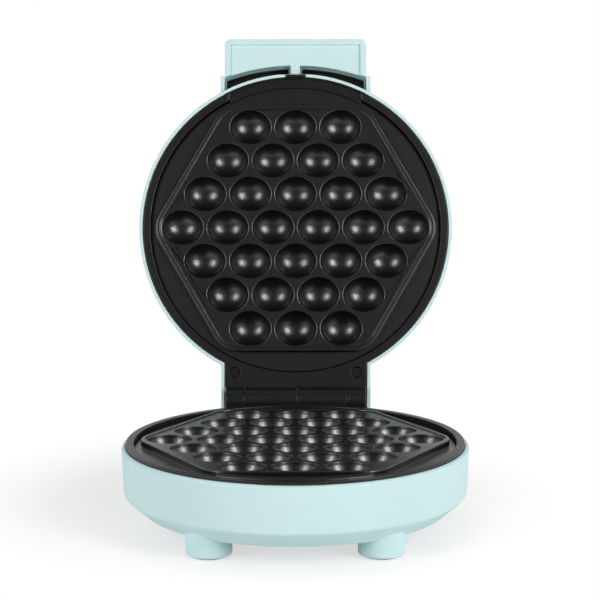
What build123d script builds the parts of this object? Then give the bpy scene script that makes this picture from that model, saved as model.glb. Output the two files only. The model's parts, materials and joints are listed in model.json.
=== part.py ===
"""Bubble waffle maker, millimetres, +Z up, origin on the table under the middle of the base.

The lid stands open. Both halves are described looking into their cooking face: x across,
y towards the hinge, z out of the cooking face, with z = 0 where the closed halves meet.
"""

import os
from math import cos, hypot, radians, sin, sqrt

from build123d import *

os.makedirs("parts", exist_ok=True)

# Bubbles of one plate
bubble_rows = 7
bubbles_in_middle_row = 6
bubble_pitch_across = 29.63
bubble_pitch_back = 22.19
bubble_half_length = 13.4
bubble_half_width = 11.3
bubble_depth = 10.8

# Cooking plate
field_margin = 3.5
field_drop = 1.05
bead_width = 2.4
bead_drop = 0.4
bead_round = 0.7
hexagon_corner = 18.5
plate_rim_margin = 3.6
plate_rim_drop = 4.4
plate_rim_thickness = 3.0
plate_back_thickness = 1.8
plate_gap = 0.4
stud_radius = 3.6
stud_circle = 42.0
stud_height = 7.5
stud_angles = (30, 150, 270)
stud_thread = 6.5
thermostat_thread = 4.0

# Bezel ring round the plate
bezel_width = 4.8
bezel_drop = 1.4
bezel_skin = 2.6
bezel_skirt = 1.9
bezel_height = 8.0
bezel_gap = 0.5
plate_ledge_width = 3.6
plate_ledge_thickness = 2.0
plate_tab_reach = 7.0
plate_tab_width = 12.0
plate_tab_angles = (30, 150, 210, 330)

# Front of the bezels
lip_half_width = 43.0
lip_overhang = 1.9
lip_height = 1.0
lip_setback = 0.7
lip_play = 0.6
lip_end_outer = 45.0
lip_end_groove_width = 0.8
lip_end_groove_depth = 0.6
hook_half_width = 6.3
hook_reach = 1.7
hook_thickness = 1.6
base_step_half_width = 17.7
base_step_reach = 1.5

# Case shells
case_wall = 2.1
case_draft = 1.1
cone_run = 11.2
crease_round = 3.0
crease_inset = 0.8
base_rim_drop = 3.4
base_rim_round = 1.9
base_crease_drop = 31.0
base_floor_drop = 40.8
lid_rim_drop = 1.6
lid_crease_drop = 26.0
lid_cap_drop = 36.0
lid_crown = 3.5
shoulder_width = 2.4
shoulder_thickness = 2.0

# Neck and hinge
neck_half_width = 48.5
neck_back_reach = 12.0
neck_corner = 5.0
hinge_setback = 11.2
hinge_drop = 2.1
knuckle_radius = 8.5
knuckle_half_span = 45.2
knuckle_outer_length = 12.2
knuckle_middle = 0.8
knuckle_play = 0.3
knuckle_slot = 0.4
trough_play = 0.8
trough_wall = 2.0
stop_gap = 0.3
pin_radius = 2.5
pin_clearance = 0.05
panel_front = 60.0
base_panel_step = 2.0
web_room = 1.6
panel_skirt = 2.0
panel_skirt_drop = 3.5
panel_skirt_length = 11.0

# Lid handle
handle_half_width = 46.8
handle_reach = 24.0
handle_drop = 5.0
handle_thickness = 10.0
handle_corner = 4.0
handle_root = 12.0
handle_rim = 3.8
handle_panel_depth = 1.6
pocket_wall_radius = 135.0
pocket_width = 6.6
pocket_depth = 15.0
pocket_rib_width = 6.2
pocket_end_wall = 2.6
pocket_end_length = 15.5
pocket_end_front = 101.5
pocket_end_floor = 2.0
pocket_rib_drop = 1.2
liner_wall = 1.2
liner_height = 9.0
liner_play = 0.1

# Feet
parting_height = 52.8
foot_radius = 13.2
foot_wall = 2.5
foot_lift = 1.0
foot_floor = 3.0
foot_edge_round = 1.6
foot_rise = 7.0
foot_hollow_rise = 2.4
front_foot_across = 48.5
front_foot_ahead = 65.0
rear_foot_across = 30.0
rear_foot_behind = 88.0
pad_radius = 10.0
pad_thickness = 2.0
pad_play = 0.1

# Screws and bosses
bezel_screw_across = 39.5
bezel_screw_ahead = 18.5
boss_radius = 3.0
screw_radius = 1.45
screw_head_radius = 2.9
screw_head_height = 1.3
screw_recess_radius = 3.4
screw_recess_depth = 1.7
bezel_screw_length = 11.0
bezel_screw_hole = 12.0
screw_free = 0.3
screw_end_gap = 0.1
screw_play = 0.05
cross_length = 3.4
cross_width = 0.8
cross_depth = 0.7
thread_engagement = 2.4

# Heating elements
element_radius = 3.25
element_circle = 62.0
element_gap = 0.1
element_opening = 36.0
element_leg = 7.5
terminal_radius = 4.4
terminal_height = 3.0
blade_width = 6.3
blade_thickness = 0.8
blade_length = 4.5

# Reflectors
reflector_radius = 80.0
reflector_thickness = 0.8
reflector_rim = 5.0
reflector_window = 17.0
leg_clearance = 1.6

# Thermostat and fuses
thermostat_flange_radius = 15.5
thermostat_flange_thickness = 1.2
thermostat_radius = 8.0
thermostat_height = 11.0
thermostat_screw_offset = 11.8
fuse_radius = 2.4
fuse_length = 16.0
fuse_across = 28.0
fuse_gap = 0.1
fuse_end_radius = 0.9
fuse_end_length = 4.0

# Terminal block, leads and lead inlet
block_length = 34.0
block_width = 15.0
block_height = 11.0
block_behind = 78.0
block_way_radius = 2.0
block_way_count = 3
lead_radius = 1.2
lead_bend = 2.5
lead_drop = 30.5
inlet_height = 27.2
inlet_hole_radius = 4.2
inlet_flange_radius = 5.4
inlet_flange_thickness = 1.6
inlet_bore_radius = 3.2
inlet_lip_radius = 4.5
inlet_lip_thickness = 1.2
inlet_play = 0.05

# Lamps on the lid
lamp_spacing = 18.0
lamp_ahead = 58.0
lens_radius = 3.2
lens_flange_radius = 4.6
lens_flange_thickness = 1.2
lens_proud = 1.4
lens_round = 1.0
lens_seat = 0.4
lamp_radius = 2.2
lamp_length = 6.0
lamp_play = 0.05

# Lid angle
open_angle = 105.1

# Sizes that follow from the plate outwards
row_half_count = bubble_rows // 2
hexagon_apothem = row_half_count * bubble_pitch_back + bubble_half_width + field_margin
hexagon_tip = hexagon_apothem / cos(radians(30)) - hexagon_corner * (1 / cos(radians(30)) - 1)
plate_radius = hexagon_tip + plate_rim_margin
bezel_inner = plate_radius + plate_gap
bezel_outer = bezel_inner + bezel_width
shell_inner = bezel_outer + bezel_gap
case_radius = shell_inner + case_wall
crease_radius = case_radius - case_draft
floor_radius = crease_radius - cone_run
plate_rim_back = plate_rim_drop + plate_rim_thickness
plate_back = field_drop + bubble_depth + plate_back_thickness
ledge_inner = bezel_inner - plate_ledge_width
ledge_back = plate_rim_back + plate_ledge_thickness
bezel_back = bezel_drop + bezel_height
hinge_behind = case_radius + hinge_setback
hinge_height = parting_height - hinge_drop
neck_back = hinge_behind + neck_back_reach
neck_inner_half = neck_half_width - case_wall
panel_half_width = neck_inner_half - bezel_gap
panel_back = hinge_behind - knuckle_radius - knuckle_slot
web_back = hinge_behind - knuckle_radius + web_room
ring_underside = bezel_drop + bezel_skin
base_panel_drop = bezel_drop + base_panel_step
swing_reach = hypot(neck_back_reach, lid_rim_drop + hinge_drop) + stop_gap
trough_front = hinge_behind - swing_reach - trough_wall
screw_behind = hinge_behind - bezel_screw_ahead
base_inside_floor = base_floor_drop - case_wall
lid_inside_cap = lid_cap_drop - case_wall
element_drop = plate_back + element_gap + element_radius
reflector_drop = plate_back + stud_height
handle_front = case_radius + handle_reach
pocket_room = 2 * pocket_width + pocket_depth
hook_front = bezel_outer + hook_reach
pocket_wall_behind = pocket_wall_radius - case_radius - pocket_width
inlet_drop = parting_height - inlet_height

# The base lies level. The lid faces it and is turned back about the hinge.
base_side = Plane.XY.offset(parting_height)
closed_lid_side = Plane(origin=(0, 0, parting_height), x_dir=(-1, 0, 0), z_dir=(0, 0, -1))


def turned_back(plane):
    """The closed lid's plane after the lid has been opened."""
    hinge = Vector(0, hinge_behind, hinge_height)
    origin = hinge + (plane.origin - hinge).rotate(Axis.X, -open_angle)
    z_dir = plane.z_dir.rotate(Axis.X, -open_angle)
    return Plane(origin=origin, x_dir=plane.x_dir, z_dir=z_dir)


lid_side = turned_back(closed_lid_side)


def upright(side, behind=0):
    """Section across a half: x across, y out of the cooking face."""
    return Plane(origin=side.from_local_coords((0, behind, 0)), x_dir=side.x_dir, z_dir=-side.y_dir)


def lengthways(side, across=0):
    """Section along a half: x towards the hinge, y out of the cooking face."""
    return Plane(origin=side.from_local_coords((across, 0, 0)), x_dir=side.y_dir, z_dir=side.x_dir)


def spin_axis(side):
    return Axis(side.origin, side.z_dir)


def finish(piece, name):
    piece.label = name
    export_step(piece, "parts/" + name + ".step")


def both_sides(across, behind):
    return [(-across, behind), (across, behind)]


def bubble_places():
    places = []
    for row in range(-row_half_count, row_half_count + 1):
        count = bubbles_in_middle_row - abs(row)
        for number in range(count):
            across = (number - (count - 1) / 2) * bubble_pitch_across
            places.append((across, row * bubble_pitch_back))
    return places


def half_bubble():
    """An egg-shaped hollow, longer across than towards the hinge."""
    with BuildPart() as bubble:
        Sphere(1)
        scale(by=(bubble_half_length, bubble_half_width, bubble_depth))
    return bubble.part


def plate_screw_places():
    reach = ledge_inner - plate_tab_reach / 2
    return [(reach * cos(radians(a)), reach * sin(radians(a))) for a in plate_tab_angles]


def hexagon_outline():
    RegularPolygon(hexagon_apothem, 6, major_radius=False)
    fillet(vertices(), hexagon_corner)


def cooking_plate(side):
    """Cast plate: round rim, raised hexagonal bead, oval bubbles and studs on the back."""
    bubble = half_bubble()
    with BuildPart(side) as plate:
        with BuildSketch(side.offset(-plate_rim_drop)):
            hexagon_outline()
        extrude(amount=plate_rim_drop - bead_drop)
        fillet(plate.faces().sort_by(spin_axis(side))[-1].edges(), bead_round)
        with BuildSketch(side.offset(-plate_rim_back)):
            Circle(plate_radius)
        extrude(amount=plate_rim_thickness)
        with BuildSketch(side.offset(-field_drop)):
            hexagon_outline()
            offset(amount=-bead_width)
        extrude(amount=field_drop, mode=Mode.SUBTRACT)
        with BuildSketch(side.offset(-plate_back)):
            hexagon_outline()
            Circle(ledge_inner - plate_gap, mode=Mode.INTERSECT)
        extrude(amount=plate_back - plate_rim_back)
        with BuildSketch(side.offset(-plate_back)):
            with Locations(*stud_places()):
                Circle(stud_radius)
        extrude(amount=-stud_height)
        with BuildSketch(side.offset(-reflector_drop)):
            with Locations(*stud_places()):
                Circle(screw_radius + screw_play)
        extrude(amount=stud_thread, mode=Mode.SUBTRACT)
        with BuildSketch(side.offset(-plate_rim_back)):
            with Locations(*plate_screw_places()):
                Circle(screw_radius + screw_play)
        extrude(amount=thread_engagement, mode=Mode.SUBTRACT)
        if side is base_side:
            with BuildSketch(side.offset(-plate_back)):
                with Locations(*thermostat_screw_places()):
                    Circle(screw_radius + screw_play)
            extrude(amount=thermostat_thread, mode=Mode.SUBTRACT)
        with Locations(*[(x, y, -field_drop) for x, y in bubble_places()]):
            add(bubble, mode=Mode.SUBTRACT)
    return plate.part


def tub(side, inset, rim, crease, floor, rim_round=0, crown=0):
    """Round body with a conical end and the square hinge neck, drawn in all round by inset."""
    round_crease = crease_radius - inset
    round_floor = floor_radius - inset
    half = neck_half_width - inset
    back = neck_back - inset
    with BuildPart() as body:
        with BuildSketch(upright(side)):
            with BuildLine():
                rim_edge = Line((case_radius - inset, -rim), (round_crease, -crease))
                cone_edge = Line(rim_edge @ 1, (round_floor, -floor))
                if crown:
                    end = RadiusArc(cone_edge @ 1, (0, -floor - crown), crown_radius(round_floor))
                else:
                    end = Line(cone_edge @ 1, (0, -floor))
                Line(end @ 1, (0, -rim))
                Line((0, -rim), rim_edge @ 0)
            make_face()
            fillet(vertices().sort_by(Axis.X)[-2], crease_round)
        revolve(axis=spin_axis(side))
        with BuildSketch(side.offset(-crease)):
            neck_outline(half, back)
        extrude(amount=crease - rim)
        with BuildSketch(side.offset(-crease)):
            neck_outline(half, back)
        with BuildSketch(side.offset(-floor)):
            neck_outline(half - cone_run, back - cone_run)
        loft()
        if rim_round:
            fillet(body.faces().sort_by(spin_axis(side))[-1].outer_wire().edges(), rim_round)
    return body.part


def crown_radius(reach):
    """Radius of the arc that rises by the lid's crown over the given reach."""
    return (reach * reach + lid_crown * lid_crown) / (2 * lid_crown)


def neck_outline(half, back):
    with Locations((0, back / 2)):
        Rectangle(2 * half, back)
    fillet(vertices().group_by(Axis.Y)[-1], neck_corner)


def hinge_point(drop):
    return (hinge_behind, drop)


def swing_space(reach):
    """Room behind and below the hinge that the opening lid's back wall sweeps through."""
    turn = radians(open_angle)
    out_y, out_z = cos(turn), -sin(turn)
    foot = (hinge_behind + reach * out_y, -hinge_drop + reach * out_z)
    span = 3 * neck_back_reach
    far = (foot[0] - span * out_z, foot[1] + span * out_y)
    with BuildPart() as space:
        with BuildSketch(lengthways(base_side)):
            with Locations(hinge_point(-hinge_drop)):
                Circle(reach)
            with BuildLine():
                Polyline(foot, far, (far[0], span), (foot[0], span), close=True)
            make_face()
        extrude(amount=neck_half_width + case_wall, both=True)
    return space.part


def round_trough(side, drop, reach, half):
    with BuildPart() as space:
        with BuildSketch(lengthways(side)):
            with Locations(hinge_point(drop)):
                Circle(reach)
        extrude(amount=half, both=True)
    return space.part


def shoulder_and_bosses(side, inside_floor, panel_underside, outer):
    """Ledge inside the wall for the bezel ring, and the two screw posts beside the hinge."""
    with BuildPart() as inside:
        with BuildSketch(upright(side)):
            with BuildLine():
                Polyline((shell_inner - shoulder_width, -bezel_back), (shell_inner + case_wall / 2, -bezel_back),
                         (shell_inner + case_wall / 2, -bezel_back - shoulder_thickness - shoulder_width),
                         (shell_inner, -bezel_back - shoulder_thickness - shoulder_width),
                         (shell_inner - shoulder_width, -bezel_back - shoulder_thickness), close=True)
            make_face()
        revolve(axis=spin_axis(side))
        with BuildSketch(lengthways(side)):
            with Locations((hinge_behind / 2 + neck_back / 2, -bezel_back)):
                Rectangle(neck_back, neck_back)
        extrude(amount=neck_inner_half, both=True, mode=Mode.SUBTRACT)
        with BuildSketch(side.offset(-inside_floor)):
            with Locations(*both_sides(bezel_screw_across, screw_behind)):
                Circle(boss_radius)
        extrude(amount=inside_floor - panel_underside)
        with BuildSketch(side.offset(-panel_underside)):
            with Locations(*both_sides(bezel_screw_across, screw_behind)):
                Circle(screw_radius + screw_play)
        extrude(amount=-bezel_screw_hole, mode=Mode.SUBTRACT)
        add(outer, mode=Mode.INTERSECT)
    return inside.part


def panel_room(side, depth):
    """Space between the neck walls for the neck panel."""
    with BuildPart() as space:
        with BuildSketch(side.offset(-depth)):
            with Locations((0, (panel_front + web_back) / 2)):
                Rectangle(2 * neck_inner_half, web_back - panel_front)
        extrude(amount=depth)
    return space.part


def feet():
    """Four round feet, hollow from inside, with a seat for a rubber pad under each."""
    places = both_sides(front_foot_across, -front_foot_ahead) + both_sides(rear_foot_across, rear_foot_behind)
    with BuildPart() as foot:
        with BuildSketch(Plane.XY.offset(foot_lift)):
            with Locations(*places):
                Circle(foot_radius)
        extrude(amount=parting_height - base_floor_drop - foot_lift + foot_rise)
        fillet(foot.faces().sort_by(Axis.Z)[:4].edges(), foot_edge_round)
        with BuildSketch(Plane.XY.offset(foot_lift)):
            with Locations(*places):
                Circle(pad_radius + pad_play)
        extrude(amount=pad_thickness - foot_lift, mode=Mode.SUBTRACT)
    return foot.part, places


def base_shell_piece():
    outer = tub(base_side, 0, base_rim_drop, base_crease_drop, base_floor_drop, base_rim_round)
    hollow = tub(base_side, case_wall, 0, base_crease_drop - crease_inset, base_inside_floor)
    sweep = swing_space(swing_reach)
    trough = swing_space(swing_reach + trough_wall)
    inside = shoulder_and_bosses(base_side, base_inside_floor, base_panel_drop + bezel_skin, outer)
    foot_posts, foot_places = feet()
    with BuildPart() as room:
        add(hollow)
        add(trough, mode=Mode.SUBTRACT)
        add(panel_room(base_side, base_panel_drop + bezel_skin))
    with BuildPart() as shell:
        add(outer)
        add(foot_posts)
        add(room.part, mode=Mode.SUBTRACT)
        add(sweep, mode=Mode.SUBTRACT)
        add(inside)
        with BuildSketch(Plane.XY.offset(foot_lift + foot_floor)):
            with Locations(*foot_places):
                Circle(foot_radius - foot_wall)
        extrude(amount=parting_height - base_inside_floor - foot_lift - foot_floor + foot_hollow_rise,
                mode=Mode.SUBTRACT)
        with BuildSketch(upright(base_side, neck_back)):
            with Locations((0, -inlet_drop)):
                Circle(inlet_hole_radius)
        extrude(amount=2 * case_wall, mode=Mode.SUBTRACT)
    return shell.part


def handle_block():
    """Flat tongue in front of the lid, thinner towards its front edge, with its two end blocks."""
    root = case_radius - handle_root
    with BuildPart(lid_side) as block:
        with BuildSketch(lid_side.offset(-handle_drop)):
            with Locations((0, -(root + handle_front) / 2)):
                Rectangle(2 * handle_half_width, handle_front - root)
            fillet(vertices().group_by(Axis.Y)[0], handle_corner)
        extrude(amount=handle_drop - lid_crease_drop)
        with BuildSketch(lengthways(lid_side)):
            with BuildLine():
                Polyline((-root, 0), (-handle_front, 0), (-handle_front, -handle_drop - handle_thickness),
                         (-case_radius, -lid_crease_drop), (-root, -lid_crease_drop), close=True)
            make_face()
        extrude(amount=handle_half_width, both=True, mode=Mode.INTERSECT)
        with BuildSketch(lid_side.offset(-handle_drop)):
            with Locations((0, -pocket_end_front + pocket_end_length / 2)):
                Rectangle(2 * handle_half_width + 2 * pocket_end_wall, pocket_end_length)
        extrude(amount=-pocket_depth - pocket_end_floor)
    return block.part


def pocket_outline(rib_width):
    """Two curved slots between the lid's wall and the handle, either side of a rib."""
    with Locations((0, -case_radius)):
        Rectangle(2 * handle_half_width, 2 * pocket_room)
    with Locations((0, pocket_wall_behind)):
        Circle(pocket_wall_radius, mode=Mode.INTERSECT)
    Circle(case_radius, mode=Mode.SUBTRACT)
    with Locations((0, -case_radius)):
        Rectangle(rib_width, 2 * pocket_room, mode=Mode.SUBTRACT)


def handle_pocket_liners_piece():
    """Black trays pressed into the two slots."""
    with BuildPart() as trays:
        with BuildSketch(lid_side.offset(-handle_drop - pocket_depth)):
            pocket_outline(pocket_rib_width)
            offset(amount=-liner_play)
        extrude(amount=liner_height)
        with BuildSketch(lid_side.offset(-handle_drop - pocket_depth + liner_wall)):
            pocket_outline(pocket_rib_width)
            offset(amount=-liner_play - liner_wall)
        extrude(amount=liner_height, mode=Mode.SUBTRACT)
    return trays.part


def handle_hollows():
    """The deep slot between lid and handle, and the shallow panel under the handle."""
    with BuildPart(lid_side) as hollows:
        with BuildSketch(lid_side.offset(-handle_drop - pocket_depth)):
            pocket_outline(pocket_rib_width)
        extrude(amount=handle_drop + pocket_depth)
        with BuildSketch(lid_side.offset(-handle_drop - pocket_rib_drop)):
            with Locations((0, -case_radius)):
                Rectangle(2 * handle_half_width, 2 * pocket_room)
            with Locations((0, pocket_wall_behind)):
                Circle(pocket_wall_radius, mode=Mode.INTERSECT)
            Circle(case_radius, mode=Mode.SUBTRACT)
        extrude(amount=handle_drop + pocket_rib_drop)
        with BuildSketch(lid_side.offset(-handle_drop - handle_panel_depth)):
            with Locations((0, -(case_radius + handle_front - handle_rim) / 2)):
                Rectangle(2 * (handle_half_width - handle_rim), handle_front - handle_rim - case_radius)
            with Locations((0, pocket_wall_behind)):
                Circle(pocket_wall_radius, mode=Mode.SUBTRACT)
        extrude(amount=handle_drop + handle_panel_depth)
    return hollows.part


def cap_level(radius, inset=0):
    """Depth of the lid's crowned top at a distance from its middle."""
    bend = crown_radius(floor_radius - inset)
    return lid_cap_drop - inset + lid_crown - bend + sqrt(bend * bend - radius * radius)


def lid_shell_piece():
    outer = tub(lid_side, 0, lid_rim_drop, lid_crease_drop, lid_cap_drop, crown=lid_crown)
    hollow = tub(lid_side, case_wall, 0, lid_crease_drop - crease_inset, lid_inside_cap, crown=lid_crown)
    trough = round_trough(lid_side, hinge_drop, knuckle_radius + trough_play + trough_wall, neck_half_width)
    inside = shoulder_and_bosses(lid_side, lid_inside_cap, ring_underside, outer)
    block = handle_block()
    hollows = handle_hollows()
    with BuildPart() as room:
        add(hollow)
        add(trough, mode=Mode.SUBTRACT)
        add(panel_room(lid_side, ring_underside))
    with BuildPart() as shell:
        add(outer)
        add(block)
        add(hollows, mode=Mode.SUBTRACT)
        add(room.part, mode=Mode.SUBTRACT)
        add(round_trough(lid_side, hinge_drop, knuckle_radius + trough_play, neck_inner_half), mode=Mode.SUBTRACT)
        add(inside)
        with BuildSketch(lid_side):
            with Locations((0, -hook_front / 2)):
                Rectangle(2 * (hook_half_width + bezel_gap), hook_front + bezel_gap)
        extrude(amount=-bezel_drop - hook_thickness - bezel_gap, mode=Mode.SUBTRACT)
        with BuildSketch(lid_side):
            with Locations(*lamp_places()):
                Circle(lens_radius + lamp_play)
        extrude(amount=-2 * lid_cap_drop, mode=Mode.SUBTRACT)
    return shell.part


def lamp_places():
    return both_sides(lamp_spacing / 2, -lamp_ahead)


def front_sector(inner, outer, half_width):
    """Arc-shaped strip at the front of the bezel ring."""
    Circle(outer)
    Circle(inner, mode=Mode.SUBTRACT)
    with Locations((0, -outer / 2)):
        Rectangle(2 * half_width, outer, mode=Mode.INTERSECT)


def bezel(side, panel_drop, drop, spans):
    """Black ring that holds a plate, with the neck panel, plate tabs and hinge knuckles."""
    skirt_inner = bezel_outer - bezel_skirt
    wall_outer = bezel_inner + bezel_skirt
    with BuildPart(side) as ring:
        with BuildSketch(upright(side)):
            with BuildLine():
                Polyline((bezel_inner, -bezel_drop), (bezel_outer, -bezel_drop), (bezel_outer, -bezel_back),
                         (skirt_inner, -bezel_back), (skirt_inner, -ring_underside),
                         (wall_outer, -ring_underside), (wall_outer, -ledge_back), (ledge_inner, -ledge_back),
                         (ledge_inner, -plate_rim_back), (bezel_inner, -plate_rim_back), close=True)
            make_face()
        revolve(axis=spin_axis(side))
        with BuildSketch(side.offset(-ledge_back)):
            for angle in plate_tab_angles:
                with PolarLocations(ledge_inner - plate_tab_reach / 2 + plate_gap, 1, start_angle=angle):
                    Rectangle(plate_tab_reach, plate_tab_width)
        extrude(amount=plate_ledge_thickness)
        with BuildSketch(side.offset(-panel_drop - bezel_skin)):
            with Locations((0, (panel_front + panel_back) / 2)):
                Rectangle(2 * panel_half_width, panel_back - panel_front)
            Circle(bezel_inner + bezel_width / 2, mode=Mode.SUBTRACT)
        extrude(amount=bezel_skin)
        for start, end in spans:
            with BuildSketch(lengthways(side, start)):
                with Locations((hinge_behind, drop)):
                    Circle(knuckle_radius)
                with Locations((hinge_behind - knuckle_radius, -panel_drop - bezel_skin / 2)):
                    Rectangle(2 * knuckle_radius, bezel_skin)
            extrude(amount=end - start)
        with BuildSketch(lengthways(side)):
            with Locations((hinge_behind, drop)):
                Circle(pin_radius + pin_clearance)
        extrude(amount=neck_half_width, both=True, mode=Mode.SUBTRACT)
        with BuildSketch(side.offset(-plate_rim_drop + plate_gap)):
            front_sector(bezel_inner - lip_overhang, bezel_inner + bezel_skirt, lip_half_width)
        extrude(amount=plate_rim_drop - plate_gap - bezel_drop)
        with BuildSketch(side.offset(-panel_drop)):
            with Locations(*both_sides(bezel_screw_across, screw_behind)):
                Circle(screw_recess_radius)
        extrude(amount=-screw_recess_depth, mode=Mode.SUBTRACT)
        with BuildSketch(side.offset(-panel_drop)):
            with Locations(*both_sides(bezel_screw_across, screw_behind)):
                Circle(screw_radius + screw_free)
        extrude(amount=-bezel_skin, mode=Mode.SUBTRACT)
        with BuildSketch(side.offset(-ledge_back)):
            with Locations(*plate_screw_places()):
                Circle(screw_radius + screw_free)
        extrude(amount=plate_ledge_thickness, mode=Mode.SUBTRACT)
    return ring.part


def base_bezel_piece():
    marks = knuckle_marks()
    spans = [(marks[0], marks[1] - knuckle_play), (marks[2] + knuckle_play, marks[3])]
    body = bezel(base_side, base_panel_drop, -hinge_drop, spans)
    with BuildPart() as ring:
        add(body)
        with BuildSketch(base_side.offset(-bezel_drop)):
            front_sector(bezel_inner - lip_overhang, bezel_outer - lip_setback, lip_half_width)
        extrude(amount=lip_height)
        with BuildSketch(base_side.offset(-base_rim_drop + bezel_gap)):
            front_sector(bezel_outer - bezel_skirt / 2, bezel_outer + base_step_reach, base_step_half_width)
        extrude(amount=hook_thickness)
        with BuildSketch(base_side.offset(-base_panel_drop - bezel_skin)):
            with Locations(*both_sides(panel_half_width - panel_skirt / 2, trough_front - panel_skirt_length / 2)):
                Rectangle(panel_skirt, panel_skirt_length)
        extrude(amount=-panel_skirt_drop)
        with BuildSketch(base_side.offset(-base_panel_drop - bezel_skin)):
            with Locations((0, (trough_front + bezel_outer) / 2)):
                Rectangle(2 * neck_inner_half, bezel_outer - trough_front + 2 * bezel_gap)
        extrude(amount=-bezel_height, mode=Mode.SUBTRACT)
    return ring.part


def lid_bezel_piece():
    marks = [-mark for mark in knuckle_marks()]
    body = bezel(lid_side, bezel_drop, hinge_drop, [(marks[2], marks[1]), (marks[4], marks[3] - knuckle_play)])
    with BuildPart() as ring:
        add(body)
        with BuildSketch(lid_side.offset(-bezel_drop)):
            front_sector(bezel_inner - 2 * lip_overhang, bezel_outer - lip_setback + lip_play,
                         lip_half_width + lip_play)
        extrude(amount=-lip_height - lip_play, mode=Mode.SUBTRACT)
        with BuildSketch(lid_side.offset(-bezel_drop)):
            front_sector(bezel_inner - lip_overhang, bezel_outer - lip_setback + lip_play, lip_end_outer)
            with Locations((0, -bezel_outer / 2)):
                Rectangle(2 * (lip_end_outer - lip_end_groove_width), 2 * bezel_outer, mode=Mode.SUBTRACT)
        extrude(amount=-lip_end_groove_depth, mode=Mode.SUBTRACT)
        with BuildSketch(lid_side.offset(-bezel_drop - hook_thickness)):
            with Locations((0, -(bezel_outer - bezel_skirt / 2 + hook_front) / 2)):
                Rectangle(2 * hook_half_width, hook_front - bezel_outer + bezel_skirt / 2)
        extrude(amount=hook_thickness)
    return ring.part


def knuckle_marks():
    inner = knuckle_half_span - knuckle_outer_length
    return [-knuckle_half_span, -inner, knuckle_middle, inner, knuckle_half_span]


def underneath(side, drop):
    """Plane facing away from the cooking face; its y runs away from the hinge."""
    return Plane(origin=side.offset(-drop).origin, x_dir=side.x_dir, z_dir=-side.z_dir)


def flipped(places):
    return [(x, -y) for x, y in places]


def screws(seat, places, length):
    """Cross-head screws whose heads rest on the seat plane."""
    with BuildPart(seat) as group:
        with BuildSketch(seat):
            with Locations(*places):
                Circle(screw_head_radius)
        extrude(amount=screw_head_height)
        with BuildSketch(seat):
            with Locations(*places):
                Circle(screw_radius)
        extrude(amount=-length)
        with BuildSketch(seat.offset(screw_head_height)):
            with Locations(*places):
                Rectangle(cross_length, cross_width)
                Rectangle(cross_width, cross_length)
        extrude(amount=-cross_depth, mode=Mode.SUBTRACT)
    return group.part


def stud_places():
    return [(stud_circle * cos(radians(a)), stud_circle * sin(radians(a))) for a in stud_angles]


def terminal_places():
    turn = radians(90 - element_opening / 2)
    return both_sides(element_circle * cos(turn), element_circle * sin(turn))


def element(side):
    """Round tube bent to an open ring, its two ends turned away from the plate."""
    half_open = element_opening / 2
    with BuildPart(side) as tube:
        ring_plane = side.offset(-element_drop)
        with BuildLine(ring_plane) as path:
            CenterArc((0, 0), element_circle, 90 + half_open, 360 - element_opening)
        with BuildSketch(Plane(origin=path.line @ 0, x_dir=side.z_dir, z_dir=path.line % 0)):
            Circle(element_radius)
        sweep()
        with BuildSketch(ring_plane):
            with Locations(*terminal_places()):
                Circle(element_radius)
        extrude(amount=-element_leg)
        with Locations(*[(x, y, -element_drop) for x, y in terminal_places()]):
            Sphere(element_radius)
    return tube.part


def terminals(side):
    """Ceramic end bead with a flat blade on each leg of the element."""
    with BuildPart(side) as ends:
        with BuildSketch(side.offset(-element_drop - element_leg)):
            with Locations(*terminal_places()):
                Circle(terminal_radius)
        extrude(amount=-terminal_height)
        with BuildSketch(side.offset(-element_drop - element_leg - terminal_height)):
            with Locations(*terminal_places()):
                Rectangle(blade_width, blade_thickness)
        extrude(amount=-blade_length)
    return ends.part


def reflector(side):
    """Shallow bright pan behind the element, open at the middle and at the two element legs."""
    with BuildPart(side) as pan:
        with BuildSketch(side.offset(-reflector_drop - reflector_thickness)):
            Circle(reflector_radius)
            Circle(reflector_window, mode=Mode.SUBTRACT)
            with Locations(*terminal_places()):
                Circle(element_radius + leg_clearance, mode=Mode.SUBTRACT)
            with Locations(*stud_places()):
                Circle(screw_radius + screw_free, mode=Mode.SUBTRACT)
        extrude(amount=reflector_thickness)
        with BuildSketch(side.offset(-reflector_drop)):
            Circle(reflector_radius)
            Circle(reflector_radius - reflector_thickness, mode=Mode.SUBTRACT)
        extrude(amount=reflector_rim)
    return pan.part


def fuse(side):
    """Thermal fuse lying against the plate's back, with its two wire ends."""
    level = plate_back + fuse_gap + fuse_radius
    middle = side.from_local_coords((fuse_across, 0, -level))
    along = Plane(origin=middle, x_dir=side.x_dir, z_dir=side.y_dir)
    with BuildPart(along) as body:
        with BuildSketch(along):
            Circle(fuse_radius)
        extrude(amount=fuse_length / 2, both=True)
        with BuildSketch(along):
            Circle(fuse_end_radius)
        extrude(amount=fuse_length / 2 + fuse_end_length, both=True)
    return body.part


def thermostat_piece():
    side = base_side
    body_drop = plate_back + thermostat_flange_thickness
    with BuildPart(side) as body:
        with BuildSketch(side.offset(-body_drop)):
            Circle(thermostat_flange_radius)
            with Locations(*thermostat_screw_places()):
                Circle(screw_radius + screw_free, mode=Mode.SUBTRACT)
        extrude(amount=thermostat_flange_thickness)
        with BuildSketch(side.offset(-body_drop)):
            Circle(thermostat_radius)
        extrude(amount=-thermostat_height)
        with BuildSketch(side.offset(-body_drop - thermostat_height)):
            with Locations((-thermostat_radius / 2, 0), (thermostat_radius / 2, 0)):
                Rectangle(blade_width, blade_thickness)
        extrude(amount=-blade_length)
    return body.part


def thermostat_screw_places():
    return [(0, -thermostat_screw_offset), (0, thermostat_screw_offset)]


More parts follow.
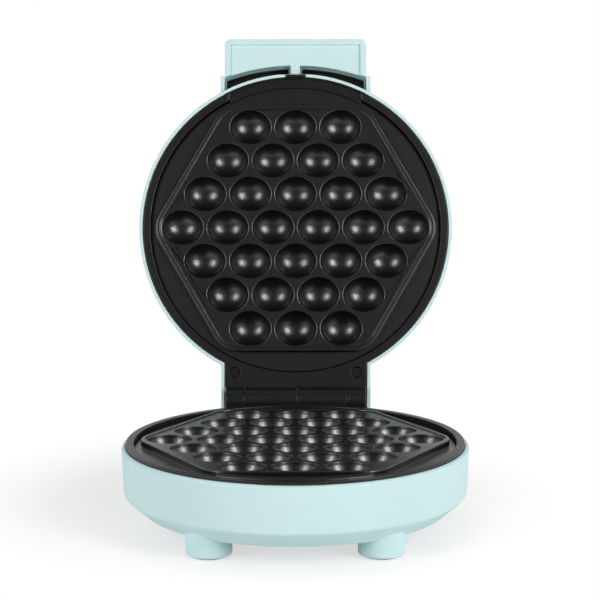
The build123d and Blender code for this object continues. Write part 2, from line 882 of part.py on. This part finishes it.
def lead(points):
    """Round insulated wire through the points, bent at each inner one."""
    with BuildPart() as wire:
        with BuildLine() as path:
            FilletPolyline(*points, radius=lead_bend)
        with BuildSketch(Plane(origin=path.line @ 0, z_dir=path.line % 0)):
            Circle(lead_radius)
        sweep()
    return wire.part


def foot_pads_piece():
    places = feet()[1]
    with BuildPart() as pads:
        with BuildSketch(Plane.XY):
            with Locations(*places):
                Circle(pad_radius)
        extrude(amount=pad_thickness)
    return pads.part


def hinge_pin_piece():
    with BuildPart() as pin:
        with BuildSketch(lengthways(base_side)):
            with Locations((hinge_behind, -hinge_drop)):
                Circle(pin_radius)
        extrude(amount=knuckle_half_span, both=True)
    return pin.part


def lead_inlet_piece():
    """Rubber grommet in the back wall."""
    wall = upright(base_side, neck_back)
    with BuildPart(wall) as grommet:
        with BuildSketch(wall):
            with Locations((0, -inlet_drop)):
                Circle(inlet_flange_radius)
        extrude(amount=-inlet_flange_thickness)
        with BuildSketch(wall):
            with Locations((0, -inlet_drop)):
                Circle(inlet_hole_radius - inlet_play)
        extrude(amount=case_wall)
        with BuildSketch(wall.offset(case_wall)):
            with Locations((0, -inlet_drop)):
                Circle(inlet_lip_radius)
        extrude(amount=inlet_lip_thickness)
        with BuildSketch(wall.offset(-inlet_flange_thickness)):
            with Locations((0, -inlet_drop)):
                Circle(inlet_bore_radius)
        extrude(amount=inlet_flange_thickness + case_wall + inlet_lip_thickness, mode=Mode.SUBTRACT)
    return grommet.part


def block_ways():
    pitch = block_length / block_way_count
    return [(number - (block_way_count - 1) / 2) * pitch for number in range(block_way_count)]


def terminal_block_piece():
    """Ceramic block on the base floor, its ways running towards the hinge."""
    with BuildPart(base_side) as block:
        with BuildSketch(base_side.offset(-base_inside_floor)):
            with Locations((0, block_behind)):
                Rectangle(block_length, block_width)
        extrude(amount=block_height)
        with BuildSketch(upright(base_side, block_behind + block_width / 2)):
            with Locations(*[(x, -lead_drop) for x in block_ways()]):
                Circle(block_way_radius)
        extrude(amount=block_width / 2, mode=Mode.SUBTRACT)
        with BuildSketch(base_side.offset(-base_inside_floor)):
            with Locations(*block_screw_places()):
                Circle(screw_radius + screw_free)
        extrude(amount=block_height, mode=Mode.SUBTRACT)
    return block.part


def block_screw_places():
    offset_across = block_length / block_way_count / 2
    return both_sides(offset_across, block_behind)


def base_leads_piece():
    """Leads from the terminal block to the element ends and the thermostat."""
    front = block_behind - block_width / 2
    ways = block_ways()
    blade = terminal_places()[1]
    behind_blade = blade[1] + blade_thickness / 2
    level = parting_height - lead_drop
    wires = []
    for way, across in ((ways[0], -blade[0]), (ways[-1], blade[0])):
        step = (front - behind_blade) / 3
        wires.append(lead([(way, front, level), (way, front - step, level),
                           (across, behind_blade + step, level), (across, behind_blade, level)]))
    across = thermostat_radius / 2
    end = blade_thickness / 2
    wires.append(lead([(ways[1], front, level), (ways[1], front - 2 * lead_bend, level),
                       (across, end + 2 * lead_bend, level), (across, end, level)]))
    with BuildPart() as group:
        for wire in wires:
            add(wire)
    return group.part


def lamp_back():
    return cap_level(lamp_ahead, case_wall) - lens_flange_thickness - lens_seat


def lid_leads_piece():
    """Leads from the lamps to the ends of the upper element."""
    level = -lamp_back() + lamp_length / 2
    wires = []
    for (lamp_x, lamp_y), (blade_x, blade_y) in zip(lamp_places(), terminal_places()):
        start = lamp_y + lamp_radius
        end = blade_y - blade_thickness / 2
        points = [(lamp_x, start, level), (lamp_x, start + 2 * lead_bend, level),
                  (blade_x, end - 2 * lead_bend, level), (blade_x, end, level)]
        wires.append(lead([lid_side.from_local_coords(point) for point in points]))
    with BuildPart() as group:
        for wire in wires:
            add(wire)
    return group.part


def lens(place):
    """Domed lamp lens pushed out through the lid's top from inside."""
    x, y = place
    inner = cap_level(abs(y), case_wall) - lens_seat
    outer = cap_level(abs(y)) + lens_proud
    away = underneath(lid_side, inner - lens_flange_thickness)
    with BuildPart(away) as body:
        with BuildSketch(away):
            with Locations((x, -y)):
                Circle(lens_flange_radius)
        extrude(amount=lens_flange_thickness)
        with BuildSketch(away):
            with Locations((x, -y)):
                Circle(lens_radius)
        extrude(amount=outer - inner + lens_flange_thickness)
        fillet(body.faces().sort_by(Axis(away.origin, away.z_dir))[-1].edges(), lens_round)
    return body.part


def lamp(place):
    x, y = place
    away = underneath(lid_side, lamp_back() - lamp_length)
    with BuildPart(away) as body:
        with BuildSketch(away):
            with Locations((x, -y)):
                Circle(lamp_radius)
        extrude(amount=lamp_length)
    return body.part


finish(base_shell_piece(), "base_shell")
finish(foot_pads_piece(), "foot_pads")
finish(base_bezel_piece(), "base_bezel")
finish(cooking_plate(base_side), "lower_plate")
finish(element(base_side), "lower_element")
finish(terminals(base_side), "lower_element_terminals")
finish(reflector(base_side), "lower_reflector")
finish(fuse(base_side), "lower_thermal_fuse")
finish(thermostat_piece(), "thermostat")
finish(terminal_block_piece(), "terminal_block")
finish(base_leads_piece(), "base_leads")
finish(lead_inlet_piece(), "lead_inlet_grommet")
finish(hinge_pin_piece(), "hinge_pin")
finish(lid_shell_piece(), "lid_shell")
finish(handle_pocket_liners_piece(), "handle_pocket_liners")
finish(lid_bezel_piece(), "lid_bezel")
finish(cooking_plate(lid_side), "upper_plate")
finish(element(lid_side), "upper_element")
finish(terminals(lid_side), "upper_element_terminals")
finish(reflector(lid_side), "upper_reflector")
finish(fuse(lid_side), "upper_thermal_fuse")
finish(lid_leads_piece(), "lid_leads")
for name, place in zip(("power", "ready"), lamp_places()):
    finish(lens(place), name + "_lens")
    finish(lamp(place), name + "_lamp")

# Screws, named after what they hold
plate_screw_length = plate_ledge_thickness + thread_engagement - screw_end_gap
reflector_screw_length = reflector_thickness + stud_thread - screw_end_gap
for half, side, drop in (("base", base_side, base_panel_drop), ("lid", lid_side, bezel_drop)):
    finish(screws(side.offset(-drop - screw_recess_depth), both_sides(bezel_screw_across, screw_behind),
                  bezel_screw_length), half + "_bezel_screws")
for half, side in (("lower", base_side), ("upper", lid_side)):
    finish(screws(underneath(side, ledge_back), flipped(plate_screw_places()),
                  plate_screw_length), half + "_plate_screws")
    finish(screws(underneath(side, reflector_drop + reflector_thickness), flipped(stud_places()),
                  reflector_screw_length), half + "_reflector_screws")
finish(screws(underneath(base_side, plate_back + thermostat_flange_thickness), thermostat_screw_places(),
              thermostat_flange_thickness + thermostat_thread - screw_end_gap), "thermostat_screws")
finish(screws(base_side.offset(block_height - base_inside_floor), block_screw_places(),
              block_height - screw_end_gap), "terminal_block_screws")
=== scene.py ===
"""Bubble waffle maker: finishes, softened edges, floor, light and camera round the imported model."""

import json
from math import cos, sin

import bpy
from mathutils import Matrix, Vector

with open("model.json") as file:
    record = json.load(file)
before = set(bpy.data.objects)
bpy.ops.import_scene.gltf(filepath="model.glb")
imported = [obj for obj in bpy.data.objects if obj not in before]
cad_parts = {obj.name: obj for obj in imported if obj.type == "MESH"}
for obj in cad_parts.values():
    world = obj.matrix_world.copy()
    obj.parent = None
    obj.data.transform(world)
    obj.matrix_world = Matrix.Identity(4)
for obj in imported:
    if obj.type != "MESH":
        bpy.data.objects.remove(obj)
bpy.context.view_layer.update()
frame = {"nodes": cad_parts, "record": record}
nodes = frame["nodes"]
scene = bpy.context.scene
scene.view_settings.view_transform = "Standard"


# Colours and nodes


def opaque(*colour):
    return (*colour, 1.0)


def grey(level):
    return opaque(level, level, level)


def shade(colour, factor):
    return opaque(*(channel * factor for channel in colour[:3]))


def add_node(tree, kind, **settings):
    node = tree.nodes.new(kind)
    for key, value in settings.items():
        setattr(node, key, value)
    return node


def feed(tree, socket, value):
    """Links the socket to another node's output, or sets it to a plain value."""
    if isinstance(value, bpy.types.NodeSocket):
        tree.links.new(value, socket)
    else:
        socket.default_value = value


def math_node(tree, operation, first, second):
    node = add_node(tree, "ShaderNodeMath", operation=operation)
    feed(tree, node.inputs[0], first)
    feed(tree, node.inputs[1], second)
    return node.outputs[0]


def vector_node(tree, operation, output, *given):
    node = add_node(tree, "ShaderNodeVectorMath", operation=operation)
    for socket, value in zip(node.inputs, given):
        feed(tree, socket, value)
    return node.outputs[output]


def split(tree, vector):
    node = add_node(tree, "ShaderNodeSeparateXYZ")
    tree.links.new(vector, node.inputs[0])
    return node.outputs


def object_place(tree):
    return add_node(tree, "ShaderNodeTexCoord").outputs["Object"]


def noise(tree, place, scale, detail=2.0):
    node = add_node(tree, "ShaderNodeTexNoise")
    node.inputs["Detail"].default_value = detail
    tree.links.new(place, node.inputs["Vector"])
    tree.links.new(scale, node.inputs["Scale"])
    return node.outputs["Fac"]


def ramp(tree, value, start, end, low=0.0, high=1.0, shape="SMOOTHSTEP"):
    """Low where the value is at start, high where it is at end, and in between a curve of the given shape."""
    node = add_node(tree, "ShaderNodeMapRange", interpolation_type=shape)
    given = {"Value": value, "From Min": start, "From Max": end, "To Min": low, "To Max": high}
    for label, setting in given.items():
        feed(tree, node.inputs[label], setting)
    return node.outputs["Result"]


def spread(tree, factor, low, high):
    """Turns a factor from 0 to 1 into a value from low to high."""
    return ramp(tree, factor, 0.0, 1.0, low, high, "LINEAR")


def blend_colours(tree, factor, first, second):
    """The first colour where the factor is 0 and the second where it is 1."""
    node = add_node(tree, "ShaderNodeMix", data_type="RGBA")
    for label, setting in (("Factor", factor), ("A", first), ("B", second)):
        feed(tree, node.inputs[label], setting)
    return node.outputs["Result"]


def show_mixed(tree, output, share, first, second):
    """Shows the first shader, and the second as far as its share goes."""
    mixed = add_node(tree, "ShaderNodeMixShader")
    tree.links.new(share, mixed.inputs["Fac"])
    tree.links.new(first.outputs[0], mixed.inputs[1])
    tree.links.new(second.outputs[0], mixed.inputs[2])
    tree.links.new(mixed.outputs[0], add_node(tree, output).inputs["Surface"])


# Shared effects, each a node group with named inputs and outputs


effect_outputs = {"Colour": "NodeSocketColor", "Roughness": "NodeSocketFloat", "Height": "NodeSocketFloat"}


def effect(name, inputs):
    group = bpy.data.node_groups.new(name, "ShaderNodeTree")
    for label, kind, value in inputs:
        socket = group.interface.new_socket(label, in_out="INPUT", socket_type=kind)
        socket.default_value = value
    for label, kind in effect_outputs.items():
        group.interface.new_socket(label, in_out="OUTPUT", socket_type=kind)
    return group, add_node(group, "NodeGroupInput").outputs, add_node(group, "NodeGroupOutput").inputs


def surface_grain():
    """Fine moulded or cast grain: colour, roughness and height that vary a little."""
    group, given, result = effect(
        "surface_grain",
        [("Colour", "NodeSocketColor", grey(0.5)), ("Shade", "NodeSocketColor", grey(0.4)),
         ("Grain", "NodeSocketFloat", 900.0), ("Cloud", "NodeSocketFloat", 18.0),
         ("Smoothest", "NodeSocketFloat", 0.3), ("Roughest", "NodeSocketFloat", 0.45)])
    place = object_place(group)
    fine = noise(group, place, given["Grain"], detail=3.0)
    broad = noise(group, place, given["Cloud"])
    mean = math_node(group, "MULTIPLY", math_node(group, "ADD", fine, broad), 0.5)
    group.links.new(blend_colours(group, mean, given["Colour"], given["Shade"]), result["Colour"])
    group.links.new(spread(group, mean, given["Smoothest"], given["Roughest"]), result["Roughness"])
    group.links.new(fine, result["Height"])
    return group


line_smoothest = 0.22
line_roughest = 0.42


def drawn_lines():
    """Fine drawing or turning lines along one axis of bright metal."""
    group, given, result = effect(
        "drawn_lines",
        [("Colour", "NodeSocketColor", grey(0.6)), ("Shade", "NodeSocketColor", grey(0.4)),
         ("Stretch", "NodeSocketVector", (1.0, 20.0, 20.0)), ("Scale", "NodeSocketFloat", 200.0)])
    stretched = vector_node(group, "MULTIPLY", "Vector", object_place(group), given["Stretch"])
    streaks = noise(group, stretched, given["Scale"], detail=3.0)
    group.links.new(blend_colours(group, streaks, given["Colour"], given["Shade"]), result["Colour"])
    group.links.new(spread(group, streaks, line_smoothest, line_roughest), result["Roughness"])
    group.links.new(streaks, result["Height"])
    return group


grain = surface_grain()
lines = drawn_lines()


# Finishes, one for each material slot of the record


def dressed(name, group, values, bump=0.0, bump_distance=0.0001, **settings):
    """A material whose colour, roughness and relief come from one shared effect."""
    material = bpy.data.materials.new(name)
    material.use_nodes = True
    tree = material.node_tree
    shader = tree.nodes["Principled BSDF"]
    worked = add_node(tree, "ShaderNodeGroup", node_tree=group)
    for label, value in values.items():
        worked.inputs[label].default_value = value
    tree.links.new(worked.outputs["Colour"], shader.inputs["Base Color"])
    tree.links.new(worked.outputs["Roughness"], shader.inputs["Roughness"])
    if bump:
        relief = add_node(tree, "ShaderNodeBump")
        relief.inputs["Strength"].default_value = bump
        relief.inputs["Distance"].default_value = bump_distance
        tree.links.new(worked.outputs["Height"], relief.inputs["Height"])
        tree.links.new(relief.outputs["Normal"], shader.inputs["Normal"])
    for label, value in settings.items():
        shader.inputs[label.replace("_", " ")].default_value = value
    return material


mint = opaque(0.590, 0.775, 0.785)
black = opaque(0.0042, 0.0042, 0.0044)
coat = opaque(0.0022, 0.0022, 0.0023)

finishes = {
    "mint_plastic": dressed(
        "mint_plastic", grain,
        {"Colour": mint, "Shade": shade(mint, 0.975), "Grain": 1400.0, "Cloud": 12.0,
         "Smoothest": 0.56, "Roughest": 0.66},
        bump=0.03, Specular_IOR_Level=0.25),
    "black_plastic": dressed(
        "black_plastic", grain,
        {"Colour": black, "Shade": shade(black, 0.8), "Grain": 1200.0, "Cloud": 20.0,
         "Smoothest": 0.34, "Roughest": 0.42},
        bump=0.40, bump_distance=0.0002, Specular_IOR_Level=0.6),
    "nonstick_aluminium": dressed(
        "nonstick_coat", grain,
        {"Colour": coat, "Shade": shade(coat, 1.35), "Grain": 1200.0, "Cloud": 25.0,
         "Smoothest": 0.295, "Roughest": 0.33},
        bump=0.40, bump_distance=0.0002, IOR=1.90),
    "grey_rubber": dressed(
        "grey_rubber", grain,
        {"Colour": opaque(0.33, 0.36, 0.36), "Shade": opaque(0.27, 0.30, 0.30), "Grain": 900.0,
         "Smoothest": 0.75, "Roughest": 0.9},
        bump=0.2),
    "black_rubber": dressed(
        "black_rubber", grain,
        {"Colour": grey(0.02), "Shade": grey(0.03), "Grain": 1200.0, "Smoothest": 0.6, "Roughest": 0.75},
        bump=0.15),
    "white_ceramic": dressed(
        "white_ceramic", grain,
        {"Colour": opaque(0.82, 0.79, 0.72), "Shade": opaque(0.72, 0.69, 0.62), "Grain": 1500.0,
         "Smoothest": 0.55, "Roughest": 0.7},
        bump=0.1),
    "lead_sleeve": dressed(
        "lead_sleeve", lines,
        {"Colour": opaque(0.78, 0.75, 0.68), "Shade": opaque(0.62, 0.60, 0.53),
         "Stretch": (6.0, 6.0, 6.0), "Scale": 300.0},
        bump=0.5),
    "sheath_steel": dressed(
        "sheath_steel", grain,
        {"Colour": opaque(0.36, 0.33, 0.30), "Shade": opaque(0.22, 0.20, 0.20), "Grain": 700.0,
         "Cloud": 60.0, "Smoothest": 0.3, "Roughest": 0.5},
        bump=0.1, Metallic=1.0),
    "bright_aluminium": dressed(
        "bright_aluminium", lines,
        {"Colour": opaque(0.86, 0.87, 0.88), "Shade": opaque(0.76, 0.77, 0.78)},
        bump=0.05, Metallic=1.0),
    "pin_steel": dressed(
        "pin_steel", lines,
        {"Colour": opaque(0.60, 0.60, 0.61), "Shade": opaque(0.48, 0.48, 0.49),
         "Stretch": (30.0, 1.0, 1.0)},
        bump=0.05, Metallic=1.0),
    "screw_steel": dressed(
        "screw_steel", lines,
        {"Colour": opaque(0.68, 0.68, 0.66), "Shade": opaque(0.55, 0.55, 0.53),
         "Stretch": (3.0, 3.0, 3.0)},
        bump=0.05, Metallic=1.0),
    "black_screw_steel": dressed(
        "black_screw_steel", grain,
        {"Colour": grey(0.15), "Shade": grey(0.11), "Grain": 1500.0, "Smoothest": 0.22, "Roughest": 0.32},
        bump=0.1, Metallic=1.0),
    "red_lens": dressed(
        "red_lens", grain,
        {"Colour": opaque(0.55, 0.03, 0.02), "Shade": opaque(0.45, 0.02, 0.015), "Grain": 300.0,
         "Smoothest": 0.08, "Roughest": 0.14},
        Coat_Weight=0.5),
    "green_lens": dressed(
        "green_lens", grain,
        {"Colour": opaque(0.03, 0.36, 0.09), "Shade": opaque(0.02, 0.28, 0.07), "Grain": 300.0,
         "Smoothest": 0.08, "Roughest": 0.14},
        Coat_Weight=0.5),
    "lamp_glass": dressed(
        "lamp_glass", grain,
        {"Colour": opaque(0.92, 0.90, 0.86), "Shade": opaque(0.86, 0.84, 0.80), "Grain": 300.0,
         "Smoothest": 0.03, "Roughest": 0.06},
        Transmission_Weight=1.0),
}


# Inside of the handle pocket: painted shade, mint walls dimmed and darkening to black at the floor

pocket_mouth = Vector((0, 0.145340, 0.159920))
out_of_lid = Vector((0, -0.965473, 0.260505))
pocket_floor_level = -0.0186
pocket_fade = 0.0080
# painted shade: the share of the lit mint shown on the pocket's walls
pocket_wall_painted_shade = 0.42


def pocket_painted_shade_material():
    """Painted shade: mint dimmed by a fixed factor on the walls, darkening to black over the last 8 mm down
    to the pocket's floor, black below.
    """
    material = dressed(
        "pocket_painted_shade", grain, {"Grain": 1800.0, "Smoothest": 0.45, "Roughest": 0.55}, bump=0.05)
    tree = material.node_tree
    worked = next(node for node in tree.nodes if node.type == "GROUP")
    from_mouth = vector_node(tree, "SUBTRACT", "Vector", object_place(tree), pocket_mouth)
    level = vector_node(tree, "DOT_PRODUCT", "Value", from_mouth, out_of_lid)
    above = ramp(tree, level, pocket_floor_level, pocket_floor_level + pocket_fade)
    # painted shade: dimmed mint on the walls, black at and below the floor
    painted_shade_colour = blend_colours(tree, above, black, shade(mint, pocket_wall_painted_shade))
    for label in ("Colour", "Shade"):
        tree.links.new(painted_shade_colour, worked.inputs[label])
    return material


# the pocket's liners get the painted shade in place of a finish
painted_shade_materials = {"handle_pocket_liners": pocket_painted_shade_material()}


# Softened edges: width in metres and number of steps for each finish, and finer ones for some pieces.
# An edge is softened where it turns by more than least_angle, in radians. On the lid's shell only the
# square edges are softened, and the base's shell has its rims rounded in the model.

soft_edges = {
    "mint_plastic": (0.0007, 3),
    "black_plastic": (0.0005, 3),
    "nonstick_aluminium": (0.0006, 3),
    "grey_rubber": (0.0004, 2),
    "black_rubber": (0.0003, 2),
    "white_ceramic": (0.0003, 2),
}
finer_edges = {"lower_plate": (0.0003, 2), "lid_shell": (0.0004, 2)}
rounded_already = ("base_shell",)
least_angle = 0.6
square_edges_only = {"lid_shell": 1.25}
joining_distance = 0.000002


def soften(piece, width, steps, angle):
    weld = piece.modifiers.new("joined_edges", "WELD")
    weld.merge_threshold = joining_distance
    bevel = piece.modifiers.new("softened_edges", "BEVEL")
    bevel.width = width
    bevel.segments = steps
    bevel.limit_method = "ANGLE"
    bevel.angle_limit = angle
    bevel.use_clamp_overlap = False
    evened = piece.modifiers.new("even_shading", "WEIGHTED_NORMAL")
    evened.mode = "FACE_AREA"
    evened.keep_sharp = False


for entry in frame["record"]["subparts"]:
    name, finish = entry["node"], entry["material_slot"]
    piece = nodes[name]
    for slot in piece.material_slots:
        # painted shade for the pocket's liners, the finish for every other piece
        slot.material = painted_shade_materials.get(name, finishes[finish])
    if finish in soft_edges and name not in rounded_already:
        width, steps = finer_edges.get(name, soft_edges[finish])
        soften(piece, width, steps, square_edges_only.get(name, least_angle))


# Floor and background

floor_size = 30.0
floor_fade_middle = Vector((-0.03, 0.07, 0))
floor_fade_start = 0.07
floor_fade_end = 0.215
footprint_inside = 0.080
footprint_outside = 0.125
floor_least_white = 0.60
front_edge_near = -0.10
front_edge_far = -0.40
dim_table = 0.12
white_table = 0.95


def seen_directly(tree, path):
    """1 for rays that show the background: camera, mirror and glass rays."""
    mirrored = math_node(tree, "MAXIMUM", path["Is Camera Ray"], path["Is Glossy Ray"])
    return math_node(tree, "MAXIMUM", mirrored, path["Is Transmission Ray"])


def floor_material():
    """White table that keeps the shadow near the object and turns into the white background further out.

    Mirror rays see a dim table in front, where the room is dark too.
    """
    material = bpy.data.materials.new("studio_floor")
    material.use_nodes = True
    tree = material.node_tree
    tree.nodes.clear()
    place = object_place(tree)
    path = add_node(tree, "ShaderNodeLightPath").outputs
    from_shadow = vector_node(tree, "DISTANCE", "Value", place, floor_fade_middle)
    fade = ramp(tree, from_shadow, floor_fade_start, floor_fade_end, shape="SMOOTHERSTEP")
    from_middle = vector_node(tree, "LENGTH", "Value", place)
    clear_of_object = ramp(tree, from_middle, footprint_inside, footprint_outside)
    bare = math_node(tree, "MULTIPLY", fade, clear_of_object)
    whiteness = spread(tree, bare, floor_least_white, 1.0)
    in_front = ramp(tree, split(tree, place)["Y"], front_edge_near, front_edge_far)
    dimmed = math_node(tree, "MULTIPLY", in_front, path["Is Glossy Ray"])
    table = add_node(tree, "ShaderNodeBsdfDiffuse")
    tree.links.new(blend_colours(tree, dimmed, grey(white_table), grey(dim_table)), table.inputs["Color"])
    backdrop = add_node(tree, "ShaderNodeEmission")
    backdrop.inputs["Color"].default_value = grey(1.0)
    white = math_node(tree, "MULTIPLY", seen_directly(tree, path), whiteness)
    backdrop_share = math_node(tree, "MULTIPLY", white, math_node(tree, "SUBTRACT", 1.0, dimmed))
    show_mixed(tree, "ShaderNodeOutputMaterial", backdrop_share, table, backdrop)
    return material


def floor():
    half = floor_size / 2
    corners = [(-half, -half, 0), (half, -half, 0), (half, half, 0), (-half, half, 0)]
    mesh = bpy.data.meshes.new("studio_floor")
    mesh.from_pydata(corners, [], [(0, 1, 2, 3)])
    piece = bpy.data.objects.new("studio_floor", mesh)
    scene.collection.objects.link(piece)
    mesh.materials.append(floor_material())


floor()


# Room: its brightness by direction, as a unit vector with Y from behind the camera to behind the object
# and Z upwards

front_dim = 0.06
front_until = -0.55
behind_from = 0.15
top_dim = 0.45
overhead_from = 0.35
top_from = 0.95


def studio_world():
    """White round the object, darker behind the camera and overhead, and all white to the camera."""
    world = bpy.data.worlds.new("studio")
    scene.world = world
    world.use_nodes = True
    tree = world.node_tree
    tree.nodes.clear()
    way = split(tree, add_node(tree, "ShaderNodeTexCoord").outputs["Generated"])
    behind = ramp(tree, way["Y"], front_until, behind_from, low=front_dim)
    overhead = ramp(tree, way["Z"], overhead_from, top_from, low=1.0, high=top_dim)
    room = add_node(tree, "ShaderNodeBackground")
    tree.links.new(math_node(tree, "MULTIPLY", behind, overhead), room.inputs["Strength"])
    white = add_node(tree, "ShaderNodeBackground")
    white.inputs["Color"].default_value = grey(1.0)
    path = add_node(tree, "ShaderNodeLightPath").outputs
    show_mixed(tree, "ShaderNodeOutputWorld", path["Is Camera Ray"], room, white)


studio_world()


# Two tall soft boxes in front

look_at = Vector((0, 0.05, 0.12))


def soft_box(name, across, height, distance, wide, tall, watts):
    """Area light that faces the object: across is its angle from straight in front, height its angle up."""
    data = bpy.data.lights.new(name, "AREA")
    data.shape = "RECTANGLE"
    data.size = wide
    data.size_y = tall
    data.energy = watts
    lamp = bpy.data.objects.new(name, data)
    scene.collection.objects.link(lamp)
    reach = distance * cos(height)
    lamp.location = look_at + Vector((reach * sin(across), -reach * cos(across), distance * sin(height)))
    lamp.rotation_mode = "QUATERNION"
    lamp.rotation_quaternion = (look_at - lamp.location).to_track_quat("-Z", "Y")


soft_box("right_soft_box", across=0.80, height=0.36, distance=1.6, wide=0.42, tall=0.90, watts=15.7)
soft_box("left_soft_box", across=-0.80, height=0.36, distance=1.6, wide=0.36, tall=0.90, watts=11.2)


# Camera where the photograph was taken from, with its angles in radians

camera_place = Vector((0.004400, -1.153265, 0.321099))
camera_yaw = -0.0012557
camera_pitch = 0.1599956
camera_roll = -0.0020626
camera_lens = 119.92
camera_sensor = 36.0

level_reach = cos(camera_pitch)
ahead = Vector((sin(camera_yaw) * level_reach, cos(camera_yaw) * level_reach, -sin(camera_pitch)))
level_right = Vector((cos(camera_yaw), -sin(camera_yaw), 0))
level_up = level_right.cross(ahead)
right = cos(camera_roll) * level_right + sin(camera_roll) * level_up
up = cos(camera_roll) * level_up - sin(camera_roll) * level_right
camera_data = bpy.data.cameras.new("camera")
camera_data.lens = camera_lens
camera_data.sensor_width = camera_sensor
camera = bpy.data.objects.new("camera", camera_data)
scene.collection.objects.link(camera)
camera.location = camera_place
camera.rotation_mode = "QUATERNION"
camera.rotation_quaternion = Matrix((right, up, -ahead)).transposed().to_quaternion()
scene.camera = camera
